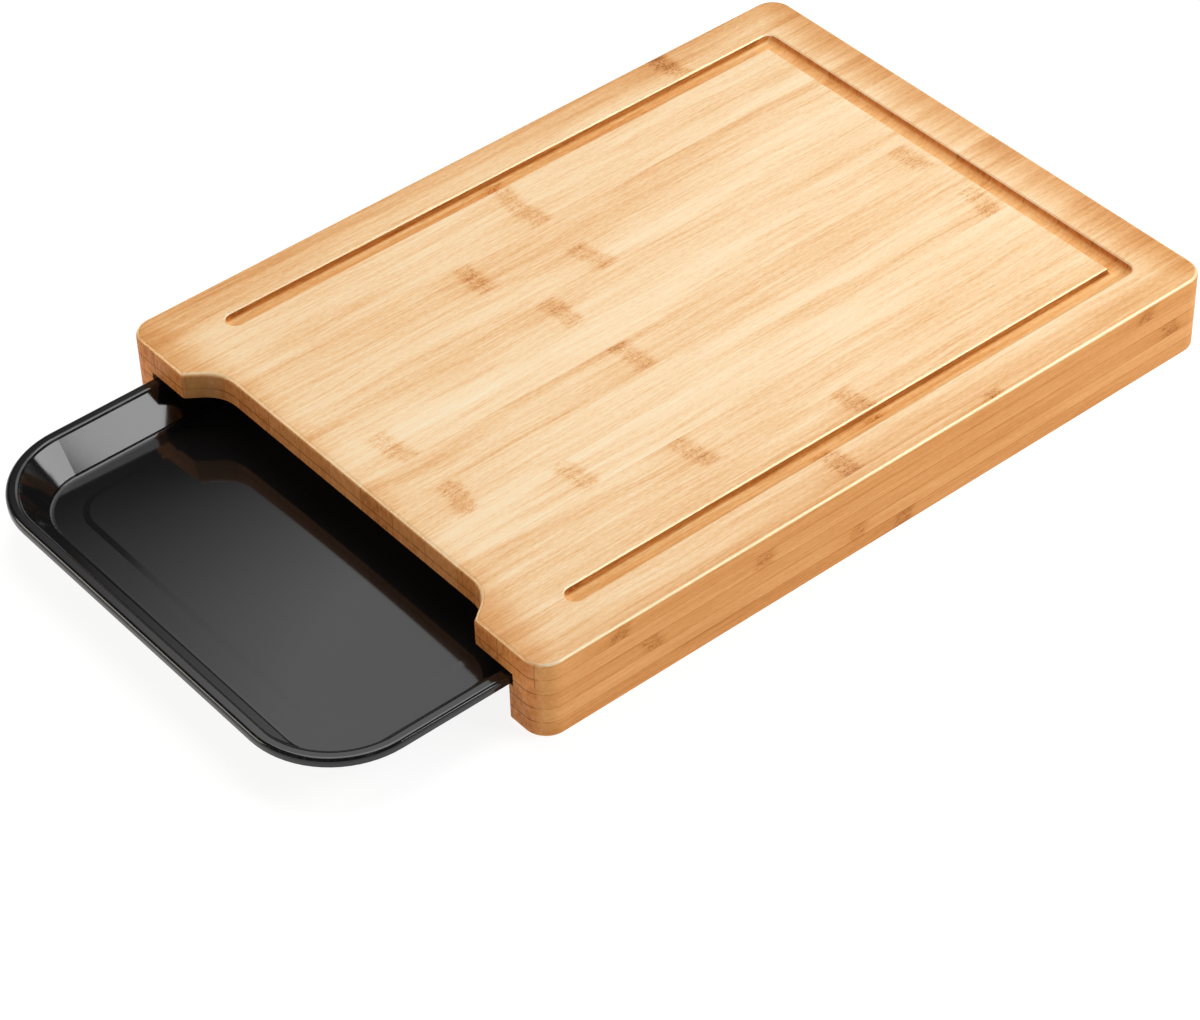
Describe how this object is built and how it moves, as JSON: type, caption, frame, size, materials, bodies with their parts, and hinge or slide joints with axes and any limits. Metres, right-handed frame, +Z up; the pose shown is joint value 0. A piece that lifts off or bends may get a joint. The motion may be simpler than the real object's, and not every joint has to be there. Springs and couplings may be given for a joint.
{
  "type": "cutting board with a sliding tray",
  "caption": "Bamboo cutting board with a juice groove and finger recess, on rails that form a slot for a black plastic tray that slides out beneath it.",
  "frame": {"origin": "middle of the base, on the surface that the board stands on, with the tray drawn out as in the picture", "axes": "+Z up, +Y along the board's length away from the tray's end, +X across its width; the tray comes out towards -Y"},
  "size_m": [0.285, 0.4776, 0.0405],
  "materials": {
    "bamboo": "smooth oiled bamboo",
    "tray_plastic": "glossy black"
  },
  "bodies": {
    "board": {"board_stave_01": "bamboo", "board_stave_02": "bamboo", "board_stave_03": "bamboo", "board_stave_04": "bamboo", "board_stave_05": "bamboo", "board_stave_06": "bamboo", "board_stave_07": "bamboo", "board_stave_08": "bamboo", "board_stave_09": "bamboo", "board_stave_10": "bamboo", "board_stave_11": "bamboo", "board_stave_12": "bamboo", "board_stave_13": "bamboo", "board_stave_14": "bamboo", "left_spacer": "bamboo", "right_spacer": "bamboo", "back_spacer": "bamboo", "left_rail": "bamboo", "right_rail": "bamboo", "back_rail": "bamboo"},
    "tray": {"tray": "tray_plastic"}
  },
  "joints": [
    {"name": "tray_slide", "type": "slide", "parent": "board", "child": "tray", "axis": [0, -1, 0], "range_m": [-0.0986, 0.262]}
  ]
}
